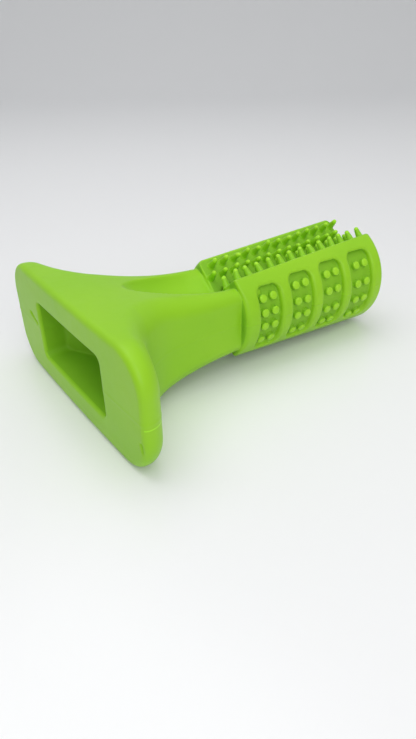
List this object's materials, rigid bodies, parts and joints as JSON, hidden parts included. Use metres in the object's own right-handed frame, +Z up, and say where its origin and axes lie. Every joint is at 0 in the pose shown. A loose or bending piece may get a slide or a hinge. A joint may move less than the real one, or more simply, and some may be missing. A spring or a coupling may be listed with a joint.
{
  "type": "pet toothbrush",
  "caption": "Soft rubber chew toothbrush for a pet: wide foot with a pocket, scooped stem, and two springy nubbed walls facing each other across a V-shaped bristle channel.",
  "frame": {"origin": "middle of the part's length and width, on the plane it rests on", "axes": "+X from the foot to the tip, +Z up through the mould's parting plane, Y across the foot's two ears"},
  "size_m": [0.1496, 0.1122, 0.0474],
  "materials": {
    "rubber": "satin lime-green moulded rubber",
    "bristle_rubber": "satin lime-green moulded rubber, thin and slightly translucent"
  },
  "bodies": {
    "base": {"foot": "rubber", "stem": "rubber"},
    "right_wall": {"wall_right": "rubber", "nubs_right_1": "rubber", "nubs_right_2": "rubber", "nubs_right_3": "rubber", "nubs_right_4": "rubber", "bristles_right_top_outer": "bristle_rubber", "bristles_right_top_inner": "bristle_rubber", "bristles_right_bottom_inner": "bristle_rubber", "bristles_right_bottom_outer": "bristle_rubber"},
    "left_wall": {"wall_left": "rubber", "nubs_left_1": "rubber", "nubs_left_2": "rubber", "nubs_left_3": "rubber", "nubs_left_4": "rubber", "bristles_left_top_outer": "bristle_rubber", "bristles_left_top_inner": "bristle_rubber", "bristles_left_bottom_inner": "bristle_rubber", "bristles_left_bottom_outer": "bristle_rubber"}
  },
  "joints": [
    {"name": "right_wall_flex", "type": "hinge", "parent": "base", "child": "right_wall", "pos_m": [-0.0055, -0.012, 0.0237], "axis": [0, 0, -1], "range_deg": [-1.4, 4], "stiffness_Nm_per_rad": 3},
    {"name": "left_wall_flex", "type": "hinge", "parent": "base", "child": "left_wall", "pos_m": [-0.0055, 0.012, 0.0237], "axis": [0, 0, 1], "range_deg": [-1.4, 4], "stiffness_Nm_per_rad": 3}
  ]
}
